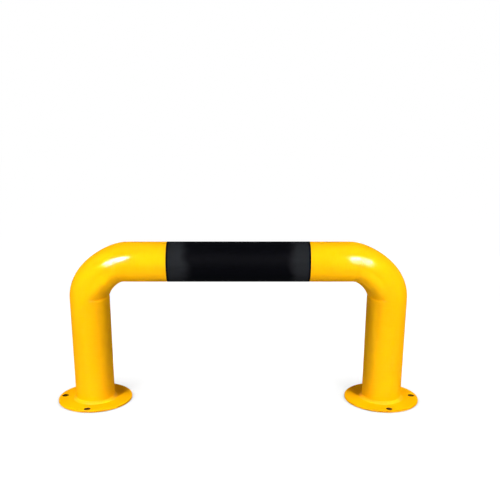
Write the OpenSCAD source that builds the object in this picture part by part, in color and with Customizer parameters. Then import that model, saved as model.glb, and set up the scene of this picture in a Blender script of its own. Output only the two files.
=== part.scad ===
// U-shaped barrier hoop: one steel tube, bent twice and welded to two round plates that bolt to the floor.
// X runs along the crossbar and Z points up. The origin is on the floor, midway between the plates.
// Lengths are in millimetres and angles in degrees.

/* [Hoop tube] */
// Length over the outer sides of the two legs
hoop_length = 650; // [500:5:1500]
// Height from the floor to the top of the crossbar
hoop_height = 318; // [220:1:1200]
// Outside diameter of the tube
tube_d = 76.1; // [48:0.1:88.9]
// Wall of the tube
tube_wall = 2.5; // [1.5:0.1:5]

/* [Bends] */
// Radius of each bend, along the middle of the tube
bend_r = 70; // [55:1:120]
// How far the outer side of a bend is pressed in where it is flattest
bend_press = 5.6; // [0:0.1:10]
// How far the front and back of a bend swell out where it is flattest
bend_swell = 1.2; // [0:0.1:3]
// Where a bend is flattest: at 1 it is halfway round, and above 1 it is nearer the crossbar
bend_skew = 1.4; // [1:0.1:2]
// How gently the pressing starts and ends: a higher value is gentler
bend_ease = 1.2; // [1:0.1:2]

/* [Base plates] */
// Diameter of each plate
plate_d = 145; // [128:1:220]
// Thickness of each plate
plate_t = 4; // [3:0.5:12]
// Slope broken off both edges of a plate
plate_chamfer = 0.6; // [0.2:0.1:1.2]
// Leg of the fillet weld between a plate and its tube
weld_leg = 5; // [3:0.5:8]

/* [Bolt holes] */
// Number of holes in each plate. They spread from its outer side, which leaves none under the crossbar.
hole_count = 3; // [1:1:4]
// Angle from one hole to the next
hole_step = 90; // [40:5:90]
// Diameter of a hole
hole_d = 13; // [9:0.5:18]
// Steel left between a hole and the edge of the plate
hole_land = 4; // [2:0.5:8]
// Angle that the middle of the spread is turned to the back from the line of the crossbar
hole_turn = 4; // [0:1:45]

/* [Black band] */
// Length of the band along the crossbar
band_length = 270; // [50:5:280]
// Thickness of the film
band_film = 0.3; // [0.1:0.1:1]

/* [Hidden] */

$fn = 96;

yellow_paint = [1.0, 0.78, 0.02];
black_film = [0.03, 0.03, 0.035];

tube_r = tube_d / 2;
bore_r = tube_r - tube_wall;

// Places of the legs and the crossbar, and where they run into the bends
leg_x = (hoop_length - tube_d) / 2;
bar_z = hoop_height - tube_r;
bend_centre_x = leg_x - bend_r;
bend_centre_z = bar_z - bend_r;

// Facets of a bend. It stands a hair proud of the straight tube, inside and out.
bend_sides = 40;
bend_rings = 14;
bend_proud = 0.05;
bend_outer_r = (tube_r + bend_proud) / cos(180 / bend_sides);
bend_bore_r = bore_r - bend_proud;

hole_circle_r = plate_d / 2 - hole_land - hole_d / 2;

// The weld's face is a shallow arc struck from a point inside the tube wall
weld_arc_inset = 0.8 * weld_leg;
weld_arc_r = norm([weld_leg + weld_arc_inset, weld_arc_inset]);

// How far a cutter runs past the face that it cuts
cut_over = 1;

// Pressing in of a bend, from 0 at its two ends to 1 where it is flattest
function press_at(share) = pow(sin(180 * pow(share, bend_skew)), bend_ease);

// A point on the skin of the right-hand bend: a share of the way from leg to crossbar, and a turn round the tube
function bend_point(radius, share, turn) =
    let (
        press = press_at(share),
        outer_side = cos(turn) > 0,
        outward = cos(turn) * (radius - (outer_side ? bend_press * press : 0)),
        sideways = sin(turn) * (radius + bend_swell * press),
        reach = bend_r + outward
    )
    [
        bend_centre_x + reach * cos(90 * share),
        sideways,
        bend_centre_z + reach * sin(90 * share)
    ];

// The right-hand bend, as a solid bar of the given section radius
module bend(radius) {
    last_ring = bend_rings - 1;
    points = [
        for (ring = [0 : last_ring], side = [0 : bend_sides - 1])
            bend_point(radius, ring / last_ring, 360 * (side + 0.5) / bend_sides)
    ];
    // Each four-sided patch of the skin is two triangles
    skin = [
        for (ring = [0 : last_ring - 1], side = [0 : bend_sides - 1], half = [0, 1])
            let (
                next = (side + 1) % bend_sides,
                a = ring * bend_sides + side,
                b = ring * bend_sides + next,
                c = a + bend_sides,
                d = b + bend_sides
            )
            half == 0 ? [a, d, b] : [a, c, d]
    ];
    leg_end = [for (side = [0 : bend_sides - 1]) side];
    bar_end = [for (side = [bend_sides - 1 : -1 : 0]) last_ring * bend_sides + side];
    polyhedron(points = points, faces = concat(skin, [leg_end, bar_end]));
}

// The whole run of the tube as a solid bar: both legs, both bends and the crossbar
module tube_run(straight_r, bent_r, foot_z) {
    for (side = [-1, 1])
        translate([side * leg_x, 0, foot_z])
            cylinder(h = bend_centre_z - foot_z, r = straight_r);
    translate([-bend_centre_x, 0, bar_z])
        rotate([0, 90, 0])
            cylinder(h = 2 * bend_centre_x, r = straight_r);
    bend(bent_r);
    mirror([1, 0, 0])
        bend(bent_r);
}

module hoop_tube() {
    color(yellow_paint)
        difference() {
            tube_run(tube_r, bend_outer_r, plate_t);
            tube_run(bore_r, bend_bore_r, plate_t - cut_over);
        }
}

module black_band() {
    color(black_film)
        translate([-band_length / 2, 0, bar_z])
            rotate([0, 90, 0])
                difference() {
                    cylinder(h = band_length, r = tube_r + band_film);
                    translate([0, 0, -cut_over])
                        cylinder(h = band_length + 2 * cut_over, r = tube_r);
                }
}

// The right-hand plate, a disc with both its edges broken and a spread of bolt holes
module base_plate() {
    rim_r = plate_d / 2;
    color(yellow_paint)
        translate([leg_x, 0, 0])
            difference() {
                rotate_extrude()
                    polygon([
                        [0, 0],
                        [rim_r - plate_chamfer, 0],
                        [rim_r, plate_chamfer],
                        [rim_r, plate_t - plate_chamfer],
                        [rim_r - plate_chamfer, plate_t],
                        [0, plate_t]
                    ]);
                for (i = [0 : hole_count - 1])
                    rotate(hole_turn + hole_step * (i - (hole_count - 1) / 2))
                        translate([hole_circle_r, 0, -cut_over])
                            cylinder(h = plate_t + 2 * cut_over, d = hole_d);
            }
}

// The right-hand weld, a slightly crowned fillet all round the foot of the tube
module weld_bead() {
    color(yellow_paint)
        translate([leg_x, 0, plate_t])
            rotate_extrude()
                intersection() {
                    translate([tube_r, 0])
                        square(2 * weld_leg);
                    translate([tube_r - weld_arc_inset, -weld_arc_inset])
                        circle(r = weld_arc_r);
                }
}

hoop_tube();
black_band();
mirror([1, 0, 0]) base_plate();  // left_base_plate
base_plate();  // right_base_plate
mirror([1, 0, 0]) weld_bead();  // left_weld_bead
weld_bead();  // right_weld_bead
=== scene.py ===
"""U-shaped barrier hoop: painted tube, black band, base plates and welds, and the stage they stand on.

Lengths are in metres. X runs along the crossbar, Y to the back and Z up. The floor is at height 0.
"""

import math

import bmesh
import bpy
from bpy.props import FloatProperty, FloatVectorProperty, IntProperty, PointerProperty
from bpy.types import Operator, Panel, PropertyGroup
from mathutils import Matrix, Vector


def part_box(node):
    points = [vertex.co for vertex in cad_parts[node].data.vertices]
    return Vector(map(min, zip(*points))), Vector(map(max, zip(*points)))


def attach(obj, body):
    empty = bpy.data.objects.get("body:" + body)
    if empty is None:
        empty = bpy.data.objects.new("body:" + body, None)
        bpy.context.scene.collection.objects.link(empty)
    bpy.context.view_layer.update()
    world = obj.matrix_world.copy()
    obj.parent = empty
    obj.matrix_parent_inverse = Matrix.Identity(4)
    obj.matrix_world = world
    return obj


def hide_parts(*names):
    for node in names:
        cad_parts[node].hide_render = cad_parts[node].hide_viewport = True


bl_info = {
    "name": "U-shaped Barrier Hoop",
    "version": (1, 0, 0),
    "blender": (4, 5, 0),
    "location": "3D View > Sidebar > Hoop",
    "description": "Makes a low barrier hoop of bent tube, with a black band and two bolted base plates",
    "category": "Add Mesh",
}

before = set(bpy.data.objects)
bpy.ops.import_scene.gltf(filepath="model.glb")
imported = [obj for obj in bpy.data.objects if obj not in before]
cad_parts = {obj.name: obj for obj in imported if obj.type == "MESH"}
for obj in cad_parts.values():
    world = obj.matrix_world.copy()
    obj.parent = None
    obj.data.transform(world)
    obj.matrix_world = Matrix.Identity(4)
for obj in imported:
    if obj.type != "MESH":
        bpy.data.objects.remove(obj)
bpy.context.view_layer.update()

# Places and sizes that the construction has settled
PLATE_LOW, PLATE_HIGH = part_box("right_base_plate")
WELD_LOW, WELD_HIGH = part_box("right_weld_bead")
BAND_LOW, BAND_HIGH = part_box("black_band")
LEG_X = (PLATE_LOW.x + PLATE_HIGH.x) / 2
BAR_Z = (BAND_LOW.z + BAND_HIGH.z) / 2
PLATE_TOP = PLATE_HIGH.z
PLATE_RADIUS = (PLATE_HIGH.x - PLATE_LOW.x) / 2
BAND_RADIUS = (BAND_HIGH.z - BAND_LOW.z) / 2
WELD_RADIUS = (WELD_HIGH.x - WELD_LOW.x) / 2

# The two halves of the hoop: the sign of their places along X, and their name
LEFT_AND_RIGHT = ((-1, "left"), (1, "right"))

# Film of the black band where it lies double
FILM_THICKNESS = 0.0003

# Sides of a ring round the tube, the band, a plate's rim, a bolt hole and a weld
TUBE_SIDES = 96
BAND_SIDES = 180
RIM_SIDES = 144
HOLE_SIDES = 40
WELD_SIDES = 360

# Points closer together than this are merged into one
MERGE_DISTANCE = 1e-6

# Edges that turn by more than this stay sharp
SHARP_ANGLE = math.radians(40)

# Where a point of the tube was before the tube was bent, kept for the finish that follows the tube
UNBENT = "unbent"

# The paint's shine is thin but dense, so that it grows little towards the rims
COAT_IOR = 2.5

# The paint's colour drifts between two tints, given as shares of its red, green and blue
DEEPER_TINT = (0.97, 0.97, 0.97)
PALER_TINT = (1.0, 1.04, 1.5)

# Heights of the paint's orange peel, fine and broad, and of the lines drawn along the tube under it
FINE_PEEL = 0.000008
BROAD_PEEL = 0.000024
DRAWN_LINES = 0.00001


class HoopSizes(PropertyGroup):
    """Sizes of the hoop that the looks need"""

    tube_diameter: FloatProperty(
        name="Tube diameter",
        description="Outside diameter of the tube",
        default=2 * (BAND_RADIUS - FILM_THICKNESS),
        unit="LENGTH",
    )
    tube_wall: FloatProperty(
        name="Tube wall",
        description="Thickness of the tube's wall",
        default=0.0025,
        unit="LENGTH",
    )
    bend_radius: FloatProperty(
        name="Bend radius",
        description="Radius of each bend along the middle of the tube",
        default=0.070,
        unit="LENGTH",
    )
    bend_press: FloatProperty(
        name="Bend press",
        description="How far the outer side of a bend is pressed in where it is flattest",
        default=0.0056,
        unit="LENGTH",
    )
    bend_swell: FloatProperty(
        name="Bend swell",
        description="How far the front and back of a bend swell out where it is flattest",
        default=0.0012,
        unit="LENGTH",
    )
    bend_skew: FloatProperty(
        name="Bend skew",
        description="Where a bend is flattest: at 1 it is halfway round, and above 1 nearer the crossbar",
        default=1.4,
    )
    bend_ease: FloatProperty(
        name="Bend ease",
        description="How gently the pressing starts and ends",
        default=1.2,
    )
    inner_swell: FloatProperty(
        name="Inner swell",
        description="How far the two inner quarters of a bend bulge out above the leg mark",
        default=0.0060,
        unit="LENGTH",
    )
    leg_mark_depth: FloatProperty(
        name="Leg mark depth",
        description="Depth of the crease that the bender left at the leg's end of each bend",
        default=0.0030,
        unit="LENGTH",
    )
    neck_depth: FloatProperty(
        name="Neck depth",
        description="How far the tube narrows where the crossbar runs into a bend",
        default=0.0003,
        unit="LENGTH",
    )
    bar_mark_depth: FloatProperty(
        name="Crossbar mark depth",
        description="Depth of the fainter step at the crossbar's end of each bend",
        default=0.00045,
        unit="LENGTH",
    )
    ripple_height: FloatProperty(
        name="Ripple height",
        description="Height of the small ripples beside the crossbar mark",
        default=0.00012,
        unit="LENGTH",
    )
    hole_diameter: FloatProperty(
        name="Hole diameter",
        description="Diameter of a bolt hole",
        default=0.013,
        unit="LENGTH",
    )
    hole_land: FloatProperty(
        name="Hole land",
        description="Steel left between a bolt hole and the edge of the plate",
        default=0.004,
        unit="LENGTH",
    )
    hole_count: IntProperty(
        name="Hole count",
        description="Number of bolt holes in each plate, spread from its outer side",
        default=3,
    )
    hole_step: FloatProperty(
        name="Hole step",
        description="Angle from one bolt hole to the next",
        default=math.radians(90),
        unit="ROTATION",
    )
    hole_turn: FloatProperty(
        name="Hole turn",
        description="Angle from the crossbar's line to the middle of the spread, turned to the back",
        default=math.radians(4),
        unit="ROTATION",
    )
    edge_radius: FloatProperty(
        name="Edge radius",
        description="Rounding of the plates' painted edges",
        default=0.0010,
        unit="LENGTH",
    )
    weld_ripple: FloatProperty(
        name="Weld ripple",
        description="Height of the ripples across a weld bead",
        default=0.00022,
        unit="LENGTH",
    )


class HoopColours(PropertyGroup):
    """Colours of the hoop"""

    yellow_paint: FloatVectorProperty(
        name="Yellow paint",
        description="Gloss paint of the tube",
        default=(0.99, 0.462, 0.001),
        subtype="COLOR",
    )
    plate_paint: FloatVectorProperty(
        name="Plate paint",
        description="Gloss paint of the base plates and welds",
        default=(0.99, 0.450, 0.001),
        subtype="COLOR",
    )
    # Grey of the film near the ends of the band: a painted sheen, with some real wear
    band_sheen_grey: FloatVectorProperty(
        name="Band grey",
        description="Rubbed film near the ends of the band",
        default=(0.0145, 0.0155, 0.0180),
        subtype="COLOR",
    )
    band_black: FloatVectorProperty(
        name="Band black",
        description="Film in the middle of the band",
        default=(0.0022, 0.0024, 0.0034),
        subtype="COLOR",
    )
    # Dark colour low in the bolt holes, painted shade with the look of bare steel
    bore_shade_steel: FloatVectorProperty(
        name="Bore steel",
        description="Bare dark steel low in the bolt holes, where the paint didn't reach",
        default=(0.05, 0.025, 0.01),
        subtype="COLOR",
    )


class HoopStage(PropertyGroup):
    """Camera and light of the stage"""

    camera_distance: FloatProperty(
        name="Camera distance",
        description="How far the camera stands in front of the hoop",
        default=1.284,
        unit="LENGTH",
    )
    camera_height: FloatProperty(
        name="Camera height",
        description="Height of the camera above the floor",
        default=0.550,
        unit="LENGTH",
    )
    camera_pitch: FloatProperty(
        name="Camera pitch",
        description="How far the camera looks down",
        default=math.radians(15.97),
        unit="ROTATION",
    )
    camera_lens: FloatProperty(
        name="Camera lens",
        description="Focal length of the camera, in millimetres",
        default=49.48,
    )
    side_power: FloatProperty(
        name="Side power",
        description="Power of each of the two lamps high to the left and right in front",
        default=2.06,
        unit="POWER",
    )
    cross_power: FloatProperty(
        name="Cross power",
        description="Power of each of the two low lamps that light the inner side of a leg",
        default=0.175,
        unit="POWER",
    )
    bar_power: FloatProperty(
        name="Bar power",
        description="Power of the lamp low in front of the crossbar",
        default=0.74,
        unit="POWER",
    )
    top_power: FloatProperty(
        name="Top power",
        description="Power of the long lamp overhead",
        default=5.4,
        unit="POWER",
    )
    back_power: FloatProperty(
        name="Back power",
        description="Power of each of the two low lamps behind",
        default=2.2,
        unit="POWER",
    )
    shine_power: FloatProperty(
        name="Shine power",
        description="Power per square metre of the lamps that only show as a shine on the bends",
        default=980.0,
    )
    room_light: FloatProperty(
        name="Room light",
        description="Level of the even light from all round",
        default=0.005,
    )


def smooth_step(value, start=0.0, width=1.0):
    """Rises smoothly from 0 to 1 as the value goes from the start over the width."""
    share = min(max((value - start) / width, 0.0), 1.0)
    return share * share * (3 - 2 * share)


def new_piece(name, bm, materials):
    """Makes an object of a finished mesh, smooth but for its sharp edges."""
    mesh = bpy.data.meshes.new(name)
    bm.to_mesh(mesh)
    bm.free()
    mesh.shade_smooth()
    mesh.set_sharp_from_angle(angle=SHARP_ANGLE)
    for material in materials:
        mesh.materials.append(material)
    piece = bpy.data.objects.new(name, mesh)
    bpy.context.scene.collection.objects.link(piece)
    return piece


def fit_piece(piece, node):
    """Puts a piece in the place of the node it stands for."""
    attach(piece, "root")
    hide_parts(node)


def of_kind(geometry, kind):
    """Picks the elements of one kind out of mixed geometry."""
    return [element for element in geometry if isinstance(element, kind)]


def extrude_ring(bm, edges, step):
    """Extrudes a ring of edges along a step, and returns the edges of the new ring."""
    grown = bmesh.ops.extrude_edge_only(bm, edges=edges)["geom"]
    verts = of_kind(grown, bmesh.types.BMVert)
    bmesh.ops.translate(bm, vec=step, verts=verts)
    new_ring = set(verts)
    return [edge for edge in of_kind(grown, bmesh.types.BMEdge) if set(edge.verts) <= new_ring]


def spin_profile(bm, points, centre, axis, steps, closed):
    """Spins a profile a full turn about an axis."""
    verts = [bm.verts.new(point) for point in points]
    ends = zip(verts, verts[1:] + verts[:1]) if closed else zip(verts, verts[1:])
    edges = [bm.edges.new(pair) for pair in ends]
    bmesh.ops.spin(
        bm,
        geom=verts + edges,
        cent=centre,
        axis=axis,
        angle=2 * math.pi,
        steps=steps,
        use_merge=True,
    )


def close_up(bm):
    """Merges what meets and turns every face outwards."""
    bmesh.ops.remove_doubles(bm, verts=bm.verts, dist=MERGE_DISTANCE)
    bmesh.ops.recalc_face_normals(bm, faces=bm.faces)


class TubeRun:
    """The run of the tube: half the crossbar, a bend and a leg.

    Places along it are measured on the tube's middle line, from the middle of the crossbar.
    """

    # Share of the way round a bend, from crossbar to leg, at which each mark of the bender lies
    bar_mark_share = 0.10
    leg_mark_share = 0.960
    # How far the close rings reach to each side of a mark
    bar_mark_reach = 0.011
    leg_mark_reach = 0.008

    # Lengths over which the swell above the leg mark rises, and then falls
    swell_rise = 0.050
    swell_fall = 0.054
    # Lengths over which the crease at the leg mark fades out, above it and below it
    crease_above = 0.012
    crease_below = 0.006
    # How much higher the crease runs on a bend's innermost line
    crease_lift = 0.003
    # Share of the swell and the crease that is lost on that line
    innermost_loss = 0.7

    # Where the neck starts, from the crossbar's end, and the lengths over which it deepens and fades out
    neck_start = -0.0115
    neck_deepening = 0.020
    neck_fading = 0.030
    # Lengths over which the step at the crossbar mark goes down and fades out
    step_down = 0.0012
    step_fading = 0.010
    # How far the ripples reach along the tube, and how far apart they are
    ripple_reach = 0.005
    ripple_spacing = 0.0035

    # Where each mark grows round the tube: a start and a width, on a scale from -1 on a bend's
    # outermost line to 1 on its innermost line
    quarter_range = (0.10, 0.42)
    innermost_range = (0.75, 0.25)
    crease_lift_range = (0.60, 0.40)
    bar_mark_range = (-0.75, 0.90)

    def __init__(self, sizes):
        self.sizes = sizes
        self.radius = sizes.tube_diameter / 2
        self.bend_centre_x = LEG_X - sizes.bend_radius
        self.bend_centre_z = BAR_Z - sizes.bend_radius
        self.bar_end = self.bend_centre_x
        self.bend_length = sizes.bend_radius * math.pi / 2
        self.leg_start = self.bar_end + self.bend_length
        self.end = self.leg_start + self.bend_centre_z - PLATE_TOP
        self.bar_mark = self.bar_end + self.bar_mark_share * self.bend_length
        self.leg_mark = self.bar_end + self.leg_mark_share * self.bend_length

    def ring_places(self):
        """Distances along the run of the tube's rings, closest together at the marks of the bender."""
        # Where each stretch of the run ends, and the furthest that its rings are apart
        stretches = (
            (self.bar_mark - self.bar_mark_reach, 0.012),
            (self.bar_mark + self.bar_mark_reach, 0.0007),
            (self.leg_mark - self.leg_mark_reach, 0.002),
            (self.leg_mark + self.leg_mark_reach, 0.0005),
            (self.end, 0.008),
        )
        places = [0.0]
        for stop, spacing in stretches:
            start = places[-1]
            count = math.ceil((stop - start) / spacing)
            places += [start + (stop - start) * (i + 1) / count for i in range(count)]
        return places

    def press_at(self, share):
        """How far the bend is pressed in, from 0 at its ends to 1. The share is 0 at the crossbar."""
        skewed = (1 - share) ** self.sizes.bend_skew
        return max(math.sin(math.pi * skewed), 0.0) ** self.sizes.bend_ease

    def leg_mark_at(self, along, inner):
        """The swell above the leg mark, less the crease at it, on the two inner quarters of the bend."""
        sizes = self.sizes
        lift = self.crease_lift * smooth_step(inner, *self.crease_lift_range)
        above = self.leg_mark - along - lift
        loss = self.innermost_loss * smooth_step(inner, *self.innermost_range)
        reach = smooth_step(inner, *self.quarter_range) * (1 - loss)
        climbed = min(max(above / self.swell_rise, 0.0), 1.0)
        fallen = smooth_step(above, self.swell_rise, self.swell_fall)
        swell = (1 - (1 - climbed) ** 2) * (1 - fallen)
        if above > 0:
            crease = math.exp(-above / self.crease_above)
        else:
            crease = smooth_step(1 + above / self.crease_below)
        return reach * (sizes.inner_swell * swell - sizes.leg_mark_depth * crease)

    def bar_mark_at(self, past, inner):
        """Depth of the step at the crossbar mark, all round but on the outer side of the bend."""
        step = smooth_step(past, 0.0, self.step_down) * math.exp(-max(past, 0.0) / self.step_fading)
        return self.sizes.bar_mark_depth * smooth_step(inner, *self.bar_mark_range) * step

    def ripple_at(self, past, turn):
        """Height of the ripples beside the crossbar mark, on the front and back of the tube only."""
        fade = math.exp(-((past / self.ripple_reach) ** 2)) * math.sin(turn) ** 4
        return self.sizes.ripple_height * fade * math.cos(2 * math.pi * past / self.ripple_spacing)

    def neck_at(self, past):
        """Depth of the neck, which is deepest just past the crossbar's end."""
        deepest = self.neck_start + self.neck_deepening
        deepened = smooth_step(past, self.neck_start, self.neck_deepening)
        neck = deepened * math.exp(-max(past - deepest, 0.0) / self.neck_fading)
        return self.sizes.neck_depth * neck

    def mark_at(self, along, turn):
        """How far the bender's marks move the skin outwards. The turn is 0 on a bend's outer side."""
        inner = -math.cos(turn)
        past_bar_mark = along - self.bar_mark
        return (
            self.leg_mark_at(along, inner)
            - self.bar_mark_at(past_bar_mark, inner)
            + self.ripple_at(past_bar_mark, turn)
            - self.neck_at(along - self.bar_end)
        )

    def place(self, unbent):
        """Where a point of the straight tube lies once the tube is bent."""
        side = 1 if unbent.x > 0 else -1
        along = abs(unbent.x)
        turn = math.atan2(unbent.y, unbent.z)
        radius = math.hypot(unbent.y, unbent.z) + self.mark_at(along, turn)
        share = min(max((along - self.bar_end) / self.bend_length, 0.0), 1.0)
        press = self.press_at(share)
        pressed_in = self.sizes.bend_press * press if math.cos(turn) > 0 else 0.0
        outward = (radius - pressed_in) * math.cos(turn)
        sideways = (radius + self.sizes.bend_swell * press) * math.sin(turn)
        reach = self.sizes.bend_radius + outward
        angle = share * math.pi / 2
        x = self.bend_centre_x + reach * math.sin(angle) + min(along - self.bar_end, 0.0)
        z = self.bend_centre_z + reach * math.cos(angle) - max(along - self.leg_start, 0.0)
        return Vector((side * x, sideways, z))


def make_hoop_tube(sizes):
    """A straight tube with a real wall, bent twice the way the bender bends it."""
    run = TubeRun(sizes)
    half = run.ring_places()
    places = [-place for place in reversed(half[1:])] + half
    bm = bmesh.new()
    facing_x = Matrix.Rotation(math.radians(90), 4, "Y")
    bmesh.ops.create_circle(
        bm,
        segments=TUBE_SIDES,
        radius=run.radius,
        matrix=Matrix.Translation((places[0], 0, 0)) @ facing_x,
    )
    ring = bm.edges[:]
    for before, here in zip(places, places[1:]):
        ring = extrude_ring(bm, ring, Vector((here - before, 0, 0)))
    bmesh.ops.recalc_face_normals(bm, faces=bm.faces)
    bmesh.ops.solidify(bm, geom=bm.faces[:], thickness=sizes.tube_wall)
    unbent = bm.verts.layers.float_vector.new(UNBENT)
    for vert in bm.verts:
        vert[unbent] = vert.co
        vert.co = run.place(vert.co)
    return bm


def make_black_band(sizes):
    """A sleeve of film wrapped once round the crossbar, lapped over itself at the back."""
    tube_radius = sizes.tube_diameter / 2
    half = BAND_HIGH.x
    # Places along the band, and the share of the film's thickness there. Its ends are pressed down thin.
    outline = (
        (half, 0.1),
        (half - 0.0002, 0.6),
        (half - 0.0007, 1.0),
        (half / 2, 1.0),
    )
    outer = [*outline, *((-x, share) for x, share in reversed(outline))]
    profile = [Vector((x, 0, tube_radius + share * FILM_THICKNESS)) for x, share in outer]
    profile += [Vector((-half, 0, tube_radius)), Vector((half, 0, tube_radius))]
    bm = bmesh.new()
    spin_profile(bm, profile, (0, 0, 0), (1, 0, 0), BAND_SIDES, closed=True)
    close_up(bm)
    # The film steps up where the lap starts, slack included, and slopes down from where the lap ends
    lap_start = math.radians(118)
    lap_slack = 0.001
    lap_width = math.radians(20)
    lap_slope = math.radians(6)
    # Thickness of the single film, and what the slope starts with above it, as shares of the lap's
    single_share = 0.55
    slope_share = 0.15
    for vert in bm.verts:
        radius = math.hypot(vert.co.y, vert.co.z)
        turn = math.atan2(vert.co.y, vert.co.z) % (2 * math.pi)
        in_lap = lap_start - lap_slack < turn < lap_start + lap_width
        past_lap = abs(turn - lap_start - lap_width)
        single = single_share + slope_share * smooth_step(1 - past_lap / lap_slope)
        film = (radius - tube_radius) * (1.0 if in_lap else single)
        scale = (tube_radius + film) / radius
        vert.co.y *= scale
        vert.co.z *= scale
    bmesh.ops.translate(bm, vec=(0, 0, BAR_Z), verts=bm.verts)
    return bm


def rounded_edge(edge_radius, segments=5):
    """Points of a quarter round, from the side of an edge to its flat.

    Each is told by how far in from the side and how far down from the flat it lies.
    """
    points = []
    for i in range(segments + 1):
        angle = math.pi / 2 * i / segments
        points.append((edge_radius * (1 - math.cos(angle)), edge_radius * (1 - math.sin(angle))))
    return points


def rim_profile(radius, inward, edge_radius, lip):
    """Outline of a plate's edge, from the bottom lip round its side to the top lip.

    Inward is the way from the edge into the steel: -1 at the plate's rim and 1 round a hole.
    """
    corner = rounded_edge(edge_radius)
    top = [(radius + inward * across, PLATE_TOP - down) for across, down in corner]
    bottom = [(r, PLATE_TOP - z) for r, z in reversed(top)]
    flat = radius + inward * (edge_radius + lip)
    return [(flat, 0.0), *bottom, *top, (flat, PLATE_TOP)]


def make_base_plate(sizes, side):
    """A disc with rounded edges and a spread of bolt holes."""
    bm = bmesh.new()
    centre = Vector((side * LEG_X, 0, 0))
    up = (0, 0, 1)
    lip = 0.0005
    rim = [centre + Vector((r, 0, z)) for r, z in rim_profile(PLATE_RADIUS, -1, sizes.edge_radius, lip)]
    spin_profile(bm, rim, centre, up, RIM_SIDES, closed=False)
    hole_radius = sizes.hole_diameter / 2
    circle_radius = PLATE_RADIUS - sizes.hole_land - hole_radius
    for i in range(sizes.hole_count):
        angle = sizes.hole_turn + sizes.hole_step * (i - (sizes.hole_count - 1) / 2)
        hole = centre + Vector((side * math.cos(angle), math.sin(angle), 0)) * circle_radius
        profile = rim_profile(hole_radius, 1, sizes.edge_radius / 2, lip)
        points = [hole + Vector((r, 0, z)) for r, z in profile]
        spin_profile(bm, points, hole, up, HOLE_SIDES, closed=False)
    bmesh.ops.remove_doubles(bm, verts=bm.verts, dist=MERGE_DISTANCE)
    for height in (0.0, PLATE_TOP):
        open_edges = [
            edge
            for edge in bm.edges
            if edge.is_boundary and all(abs(vert.co.z - height) < MERGE_DISTANCE for vert in edge.verts)
        ]
        bmesh.ops.triangle_fill(bm, edges=open_edges, use_beauty=True, normal=up)
    close_up(bm)
    return bm


def finish_holes(plate, side):
    """Gives the walls of a plate's bolt holes their second finish, paint that turns to painted shade low
    in the holes.
    """
    # The most that a wall's normal leans up or down, and how far in from the plate's edge its rim reaches
    wall_lean = 0.3
    rim_depth = 0.001
    for face in plate.data.polygons:
        upright = abs(face.normal.z) < wall_lean
        from_middle = math.hypot(face.center.x - side * LEG_X, face.center.y)
        in_hole = upright and from_middle <= PLATE_RADIUS - rim_depth
        face.material_index = 1 if in_hole else 0


def make_weld_bead(sizes, side):
    """A fillet weld all round the foot of the tube, crowned and faintly rippled."""
    bm = bmesh.new()
    centre = Vector((side * LEG_X, 0, 0))
    tube_radius = sizes.tube_diameter / 2
    leg = WELD_RADIUS - tube_radius
    # Shares of the weld's leg outwards and upwards, from its toe on the plate to its toe on the tube
    face = (
        (1.00, 0.00),
        (0.93, 0.10),
        (0.82, 0.27),
        (0.68, 0.44),
        (0.54, 0.58),
        (0.40, 0.71),
        (0.25, 0.83),
        (0.10, 0.94),
        (0.00, 1.00),
    )
    points = [centre + Vector((tube_radius + leg * out, 0, PLATE_TOP + leg * up)) for out, up in face]
    points.append(centre + Vector((tube_radius, 0, PLATE_TOP)))
    spin_profile(bm, points, centre, (0, 0, 1), WELD_SIDES, closed=True)
    close_up(bm)
    # Ripples all round the bead, how far each bows towards its toes, and how their places drift
    ripples = 76
    bow = 1.5
    drift = 0.8
    drift_waves = 5
    for vert in bm.verts:
        offset = vert.co - centre
        radial = Vector((offset.x, offset.y, 0))
        out = (radial.length - tube_radius) / leg
        up = (offset.z - PLATE_TOP) / leg
        # 0 at both toes and about 1 halfway between them
        crown = 4 * max(out, 0.0) * max(up, 0.0)
        turn = math.atan2(offset.y, offset.x)
        phase = ripples * turn + bow * (out - up) ** 2 + drift * math.sin(drift_waves * turn)
        sink = sizes.weld_ripple * crown * (0.5 + 0.5 * math.cos(phase))
        out_and_up = radial.normalized() + Vector((0, 0, 1))
        vert.co -= out_and_up * sink * math.sqrt(0.5)
    return bm


def add_node(tree, kind, inputs=None, **settings):
    """Adds a node with its settings, and the values of its input sockets by name."""
    node = tree.nodes.new(kind)
    for setting, value in settings.items():
        setattr(node, setting, value)
    for socket, value in (inputs or {}).items():
        node.inputs[socket].default_value = value
    return node


def start_material(name):
    """A new node material, with its principled shader."""
    material = bpy.data.materials.new(name)
    material.use_nodes = True
    tree = material.node_tree
    tree.nodes.clear()
    shader = add_node(tree, "ShaderNodeBsdfPrincipled")
    output = add_node(tree, "ShaderNodeOutputMaterial")
    tree.links.new(shader.outputs["BSDF"], output.inputs["Surface"])
    return material, tree, shader


def surface_coordinates(tree, follows_tube=False):
    """Coordinates for a finish: the straight tube's where it follows the tube, or the object's own."""
    if follows_tube:
        return add_node(tree, "ShaderNodeAttribute", attribute_name=UNBENT).outputs["Vector"]
    return add_node(tree, "ShaderNodeTexCoord").outputs["Object"]


def split_vector(tree, vector):
    """Splits a vector into its X, Y and Z."""
    parts = add_node(tree, "ShaderNodeSeparateXYZ")
    tree.links.new(vector, parts.inputs["Vector"])
    return parts.outputs


def add_noise(tree, coordinates, scale, detail, stretch=(1, 1, 1)):
    """Noise at a scale in cells a metre, stretched by a share along each axis."""
    mapping = add_node(tree, "ShaderNodeMapping", {"Scale": stretch})
    noise = add_node(tree, "ShaderNodeTexNoise", {"Scale": scale, "Detail": detail})
    tree.links.new(coordinates, mapping.inputs["Vector"])
    tree.links.new(mapping.outputs["Vector"], noise.inputs["Vector"])
    return noise.outputs["Fac"]


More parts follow.
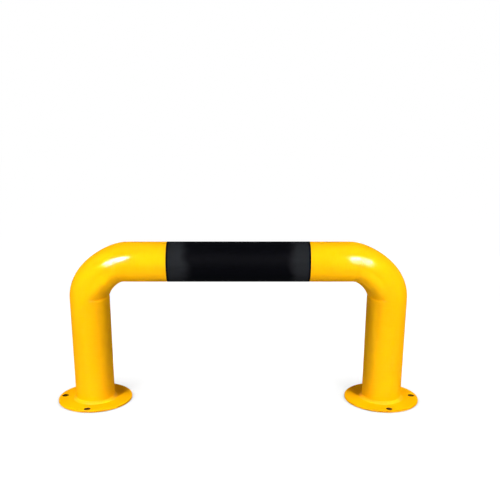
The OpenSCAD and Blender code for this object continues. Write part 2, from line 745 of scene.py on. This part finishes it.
def add_range(tree, value, low, high, out_low=0.0, out_high=1.0):
    """Maps a value from one range to another, smoothly and clamped."""
    mapped = add_node(
        tree,
        "ShaderNodeMapRange",
        {"From Min": low, "From Max": high, "To Min": out_low, "To Max": out_high},
        interpolation_type="SMOOTHSTEP",
    )
    tree.links.new(value, mapped.inputs["Value"])
    return mapped.outputs["Result"]


def add_colour_mix(tree, factor, first, second):
    """Mixes two colours. Each is a socket or a plain colour."""
    mix = add_node(tree, "ShaderNodeMix", data_type="RGBA")
    tree.links.new(factor, mix.inputs["Factor"])
    for socket, colour in (("A", first), ("B", second)):
        target = next(i for i in mix.inputs if i.name == socket and i.type == "RGBA")
        if isinstance(colour, bpy.types.NodeSocket):
            tree.links.new(colour, target)
        else:
            target.default_value = (*colour, 1.0)
    return next(o for o in mix.outputs if o.type == "RGBA")


def add_bump(tree, pattern, height, below=None):
    """Raises a surface by a pattern up to a height, on top of the bump below it."""
    bump = add_node(tree, "ShaderNodeBump", {"Distance": height, "Strength": 1.0})
    tree.links.new(pattern, bump.inputs["Height"])
    if below is not None:
        tree.links.new(below, bump.inputs["Normal"])
    return bump.outputs["Normal"]


def add_math(tree, operation, first, second=0.0):
    """Works out one value from one or two. Each is a socket or a plain number."""
    node = add_node(tree, "ShaderNodeMath", operation=operation)
    for target, value in zip(node.inputs, (first, second)):
        if isinstance(value, bpy.types.NodeSocket):
            tree.links.new(value, target)
        else:
            target.default_value = value
    return node.outputs["Value"]


def tinted(colour, tint):
    """A colour with each channel multiplied by the tint's share for it."""
    return tuple(channel * share for channel, share in zip(colour, tint))


def gloss_paint(name, colour, gloss=0.018, roughness=0.04, follows_tube=False):
    """Thick gloss paint: a thin clear coat over faint orange peel, with a slow drift of colour."""
    material, tree, shader = start_material(name)
    where = surface_coordinates(tree, follows_tube)
    drift = add_range(tree, add_noise(tree, where, scale=14, detail=3), low=0.35, high=0.65)
    tint = add_colour_mix(tree, drift, tinted(colour, DEEPER_TINT), tinted(colour, PALER_TINT))
    tree.links.new(tint, shader.inputs["Base Color"])
    # All of the shine comes from the coat
    shader.inputs["Specular IOR Level"].default_value = 0.0
    shader.inputs["Coat Weight"].default_value = gloss
    shader.inputs["Coat IOR"].default_value = COAT_IOR
    shader.inputs["Coat Roughness"].default_value = roughness
    normal = add_bump(tree, add_noise(tree, where, scale=240, detail=1), FINE_PEEL)
    normal = add_bump(tree, add_noise(tree, where, scale=40, detail=2), BROAD_PEEL, below=normal)
    if follows_tube:
        lines = add_noise(tree, where, scale=900, detail=2, stretch=(0.012, 1, 1))
        normal = add_bump(tree, lines, DRAWN_LINES, below=normal)
    tree.links.new(normal, shader.inputs["Normal"])
    tree.links.new(normal, shader.inputs["Coat Normal"])
    return material


def bore_paint_and_shade(name, colour, steel):
    """The plates' paint inside a bolt hole, which thins out towards the floor to a dark painted shade
    with the look of bare steel.
    """
    # Heights between which the paint thins out into the painted shade, and how far its ragged edge strays
    # above them
    shade_height = 0.0016
    painted_height = 0.0036
    raggedness = 0.0012
    material = gloss_paint(name, colour)
    tree = material.node_tree
    where = surface_coordinates(tree)
    ragged = add_math(tree, "MULTIPLY", add_noise(tree, where, scale=500, detail=2), raggedness)
    height = add_math(tree, "SUBTRACT", split_vector(tree, where)["Z"], ragged)
    painted = add_range(tree, height, shade_height, painted_height)
    # Painted shade low in the hole, yellow paint above it
    tint = add_colour_mix(tree, painted, steel, colour)
    tree.links.new(tint, tree.nodes["Principled BSDF"].inputs["Base Color"])
    return material


def band_film(name, black, grey):
    """Satin black film, grey towards its two ends with a painted sheen, and rougher there where worn."""
    # Distances from the band's middle over which the painted sheen begins, and over which it gives way to
    # the painted shade along the film's edges
    sheen_and_wear_start = (0.100, 0.122)
    edge_shade_start = (0.1305, 0.1325)
    # How far the painted sheen's clouded edge strays, and how steeply it draws back above and below the
    # middle
    cloud_reach = 0.03
    draw_back = 0.25
    # Heights of the film's fine grain and of its broad waves, which are drawn out along the band
    grain_height = 0.00004
    wave_height = 0.0003
    material, tree, shader = start_material(name)
    where = surface_coordinates(tree)
    parts = split_vector(tree, where)
    from_middle = add_math(tree, "ABSOLUTE", parts["X"])
    cloud = add_math(tree, "MULTIPLY", add_noise(tree, where, scale=22, detail=3), cloud_reach)
    off_centre = add_math(tree, "ABSOLUTE", add_math(tree, "SUBTRACT", parts["Z"], BAR_Z))
    drawn_back = add_math(tree, "MULTIPLY", off_centre, -draw_back)
    reach = add_math(tree, "ADD", add_math(tree, "ADD", from_middle, drawn_back), cloud)
    # Where the painted sheen of grey begins, clouded and drawn back above and below the middle
    started = add_range(tree, reach, *sheen_and_wear_start)
    # Towards the very edges the film turns black again, a painted shade along the edge of the film
    before_edge_shade = add_range(tree, from_middle, *edge_shade_start, out_low=1, out_high=0)
    sheen_and_wear = add_math(tree, "MULTIPLY", started, before_edge_shade)
    # Black in the middle, grey painted sheen towards the ends, and painted shade at the very edges
    tint = add_colour_mix(tree, sheen_and_wear, black, grey)
    tree.links.new(tint, shader.inputs["Base Color"])
    roughness = add_range(tree, sheen_and_wear, low=0, high=1, out_low=0.45, out_high=0.6)
    tree.links.new(roughness, shader.inputs["Roughness"])
    shader.inputs["Specular IOR Level"].default_value = 0.001
    normal = add_bump(tree, add_noise(tree, where, scale=160, detail=2), grain_height)
    waves = add_noise(tree, where, scale=18, detail=1, stretch=(0.4, 1, 1))
    normal = add_bump(tree, waves, wave_height, below=normal)
    tree.links.new(normal, shader.inputs["Normal"])
    return material


def seen_directly(tree):
    """1 for rays from the camera, a mirror or glass, and 0 for the rays that only carry light."""
    path = add_node(tree, "ShaderNodeLightPath").outputs
    seen = add_math(tree, "MAXIMUM", path["Is Camera Ray"], path["Is Glossy Ray"])
    return add_math(tree, "MAXIMUM", seen, path["Is Transmission Ray"])


def make_world(room_light):
    """A white backdrop all round, which lights the hoop only as much as a dim white room."""
    world = bpy.data.worlds.new("Studio")
    bpy.context.scene.world = world
    world.use_nodes = True
    tree = world.node_tree
    tree.nodes.clear()
    room = add_node(tree, "ShaderNodeBackground", {"Color": (1, 1, 1, 1), "Strength": room_light})
    backdrop = add_node(tree, "ShaderNodeBackground", {"Color": (1, 1, 1, 1), "Strength": 1.0})
    mix = add_node(tree, "ShaderNodeMixShader")
    output = add_node(tree, "ShaderNodeOutputWorld")
    tree.links.new(seen_directly(tree), mix.inputs["Fac"])
    tree.links.new(room.outputs["Background"], mix.inputs[1])
    tree.links.new(backdrop.outputs["Background"], mix.inputs[2])
    tree.links.new(mix.outputs["Shader"], output.inputs["Surface"])


def floor_finish():
    """A pale matt floor that looks white, with a soft shadow where the hoop stands on it."""
    shadow_reach = 0.18
    open_ground = (0.15, 0.15, 0.15)
    # The floor under the plates shows only through their bolt holes, where it is painted dark as their
    # shade and does not glow
    hidden_radius = PLATE_RADIUS - 0.002
    hole_shade_ground = (0.030, 0.012, 0.003)
    material = bpy.data.materials.new("pale_floor")
    material.use_nodes = True
    tree = material.node_tree
    tree.nodes.clear()
    matt = add_node(tree, "ShaderNodeBsdfDiffuse")
    shade = add_node(tree, "ShaderNodeAmbientOcclusion", {"Distance": shadow_reach}, samples=8)
    glow = add_node(tree, "ShaderNodeEmission")
    both = add_node(tree, "ShaderNodeAddShader")
    output = add_node(tree, "ShaderNodeOutputMaterial")
    mirrored = add_node(tree, "ShaderNodeVectorMath", operation="ABSOLUTE")
    tree.links.new(surface_coordinates(tree), mirrored.inputs[0])
    from_plate = add_node(tree, "ShaderNodeVectorMath", operation="DISTANCE")
    from_plate.inputs[1].default_value = (LEG_X, 0, 0)
    tree.links.new(mirrored.outputs["Vector"], from_plate.inputs[0])
    # Under the plates the floor neither glows nor is pale: painted shade, seen through the bolt holes
    uncovered = add_math(tree, "GREATER_THAN", from_plate.outputs["Value"], hidden_radius)
    ground = add_colour_mix(tree, uncovered, hole_shade_ground, open_ground)
    tree.links.new(ground, matt.inputs["Color"])
    lit = add_math(tree, "MULTIPLY", shade.outputs["AO"], uncovered)
    level = add_math(tree, "MULTIPLY", seen_directly(tree), lit)
    tree.links.new(level, glow.inputs["Strength"])
    tree.links.new(matt.outputs["BSDF"], both.inputs[0])
    tree.links.new(glow.outputs["Emission"], both.inputs[1])
    tree.links.new(both.outputs["Shader"], output.inputs["Surface"])
    return material


def make_floor():
    """A round floor that reaches well past the camera."""
    bm = bmesh.new()
    bmesh.ops.create_circle(bm, cap_ends=True, segments=128, radius=8.0)
    new_piece("floor", bm, [floor_finish()])


def add_lamp(name, power, size, place, aim, spread=180):
    """A soft rectangular lamp at a place, turned towards a point. The spread is in degrees."""
    lamp = bpy.data.lights.new(name, "AREA")
    lamp.shape = "RECTANGLE"
    lamp.size, lamp.size_y = size
    lamp.energy = power
    lamp.spread = math.radians(spread)
    holder = bpy.data.objects.new(name, lamp)
    holder.location = place
    holder.rotation_euler = (Vector(aim) - Vector(place)).to_track_quat("-Z", "Y").to_euler()
    holder.visible_camera = False
    holder.visible_glossy = False
    bpy.context.scene.collection.objects.link(holder)
    return holder


def make_lamps(stage):
    """Two lamps for the crossbar and, for each leg, three that light it and three that only shine."""
    add_lamp("top", stage.top_power, size=(1.4, 0.14), place=(0, -0.15, 1.2), aim=(0, 0, 0))
    add_lamp(
        "bar",
        stage.bar_power,
        size=(0.8, 0.10),
        place=(0, -0.90, 0.07),
        aim=(0, 0, 0.41),
        spread=36,
    )
    # The lamps that only shine: name, width and height, and places to the side and above the floor
    shine_lamps = (
        ("foot", 0.10, 0.44, 0.552, 0.48),
        ("low", 0.20, 0.86, 0.611, 1.08),
        ("high", 0.52, 0.50, 0.971, 1.20),
    )
    for side, label in LEFT_AND_RIGHT:
        add_lamp(
            f"side_{label}",
            stage.side_power,
            size=(0.3, 0.3),
            place=(side * 0.90, -1.17, 1.15),
            aim=(side * 0.38, 0, -0.02),
            spread=44,
        )
        add_lamp(
            f"cross_{label}",
            stage.cross_power,
            size=(0.3, 0.3),
            place=(side * -0.35, -1.30, 0.16),
            aim=(side * 0.30, 0, 0.02),
            spread=26,
        )
        add_lamp(
            f"back_{label}",
            stage.back_power,
            size=(0.8, 0.24),
            place=(side * 0.90, 1.50, 0.06),
            aim=(side * 0.25, 0, 0.16),
            spread=120,
        )
        for part, width, height, x, z in shine_lamps:
            shine = add_lamp(
                f"shine_{part}_{label}",
                stage.shine_power * width * height,
                size=(width, height),
                place=(side * x, -1.53, z),
                aim=(side * x, 0, z),
            )
            shine.visible_glossy = True
            shine.visible_diffuse = False


def make_camera(stage):
    """The photograph's viewpoint. The shift brings the hoop to its place in the photograph's frame."""
    data = bpy.data.cameras.new("camera")
    data.lens = stage.camera_lens
    data.sensor_width = 36.0
    data.shift_x = 0.0234
    data.shift_y = 0.1216
    camera = bpy.data.objects.new("camera", data)
    camera.location = (0, -stage.camera_distance, stage.camera_height)
    camera.rotation_euler = (math.radians(90) - stage.camera_pitch, 0, 0)
    bpy.context.scene.collection.objects.link(camera)
    bpy.context.scene.camera = camera


class HOOP_OT_add_tube(Operator):
    """Add the bent tube of the hoop"""

    bl_idname = "hoop.add_tube"
    bl_label = "Add Tube"

    def execute(self, context):
        paint = gloss_paint("yellow_paint", context.scene.hoop_colours.yellow_paint, follows_tube=True)
        tube = new_piece("painted_hoop_tube", make_hoop_tube(context.scene.hoop_sizes), [paint])
        fit_piece(tube, "hoop_tube")
        return {"FINISHED"}


class HOOP_OT_add_band(Operator):
    """Add the black film band round the crossbar"""

    bl_idname = "hoop.add_band"
    bl_label = "Add Band"

    def execute(self, context):
        colours = context.scene.hoop_colours
        film = band_film("black_film", colours.band_black, colours.band_sheen_grey)
        band = new_piece("black_film_band", make_black_band(context.scene.hoop_sizes), [film])
        fit_piece(band, "black_band")
        return {"FINISHED"}


class HOOP_OT_add_plates(Operator):
    """Add the two base plates"""

    bl_idname = "hoop.add_plates"
    bl_label = "Add Base Plates"

    def execute(self, context):
        colours = context.scene.hoop_colours
        paint = gloss_paint("plate_paint", colours.plate_paint, gloss=0.006, roughness=0.22)
        bore = bore_paint_and_shade("bolt_hole_paint_and_shade", colours.plate_paint, colours.bore_shade_steel)
        for side, label in LEFT_AND_RIGHT:
            bm = make_base_plate(context.scene.hoop_sizes, side)
            plate = new_piece(f"painted_{label}_base_plate", bm, [paint, bore])
            finish_holes(plate, side)
            fit_piece(plate, f"{label}_base_plate")
        return {"FINISHED"}


class HOOP_OT_add_welds(Operator):
    """Add the weld bead round the foot of each leg"""

    bl_idname = "hoop.add_welds"
    bl_label = "Add Weld Beads"

    def execute(self, context):
        colours = context.scene.hoop_colours
        paint = gloss_paint("weld_paint", colours.plate_paint, gloss=0.06, roughness=0.15)
        for side, label in LEFT_AND_RIGHT:
            bm = make_weld_bead(context.scene.hoop_sizes, side)
            bead = new_piece(f"painted_{label}_weld_bead", bm, [paint])
            fit_piece(bead, f"{label}_weld_bead")
        return {"FINISHED"}


class HOOP_OT_set_stage(Operator):
    """Set the floor, backdrop, lamps and camera"""

    bl_idname = "hoop.set_stage"
    bl_label = "Set Stage"

    def execute(self, context):
        stage = context.scene.hoop_stage
        make_world(stage.room_light)
        make_floor()
        make_lamps(stage)
        make_camera(stage)
        context.scene.view_settings.view_transform = "Standard"
        return {"FINISHED"}


class HOOP_PT_panel(Panel):
    """Lists the steps and settings of the hoop"""

    bl_idname = "HOOP_PT_panel"
    bl_label = "Barrier Hoop"
    bl_space_type = "VIEW_3D"
    bl_region_type = "UI"
    bl_category = "Hoop"

    def draw(self, context):
        layout = self.layout
        for operator in OPERATORS:
            layout.operator(operator.bl_idname)
        for group in (context.scene.hoop_sizes, context.scene.hoop_colours, context.scene.hoop_stage):
            box = layout.box()
            for name in group.__annotations__:
                box.prop(group, name)


OPERATORS = (HOOP_OT_add_tube, HOOP_OT_add_band, HOOP_OT_add_plates, HOOP_OT_add_welds, HOOP_OT_set_stage)
CLASSES = (HoopSizes, HoopColours, HoopStage, *OPERATORS, HOOP_PT_panel)


def register():
    for cls in CLASSES:
        bpy.utils.register_class(cls)
    bpy.types.Scene.hoop_sizes = PointerProperty(type=HoopSizes)
    bpy.types.Scene.hoop_colours = PointerProperty(type=HoopColours)
    bpy.types.Scene.hoop_stage = PointerProperty(type=HoopStage)


def unregister():
    del bpy.types.Scene.hoop_stage
    del bpy.types.Scene.hoop_colours
    del bpy.types.Scene.hoop_sizes
    for cls in reversed(CLASSES):
        bpy.utils.unregister_class(cls)


def main():
    register()
    bpy.ops.hoop.add_tube()
    bpy.ops.hoop.add_band()
    bpy.ops.hoop.add_plates()
    bpy.ops.hoop.add_welds()
    bpy.ops.hoop.set_stage()


if __name__ == "__main__":
    main()
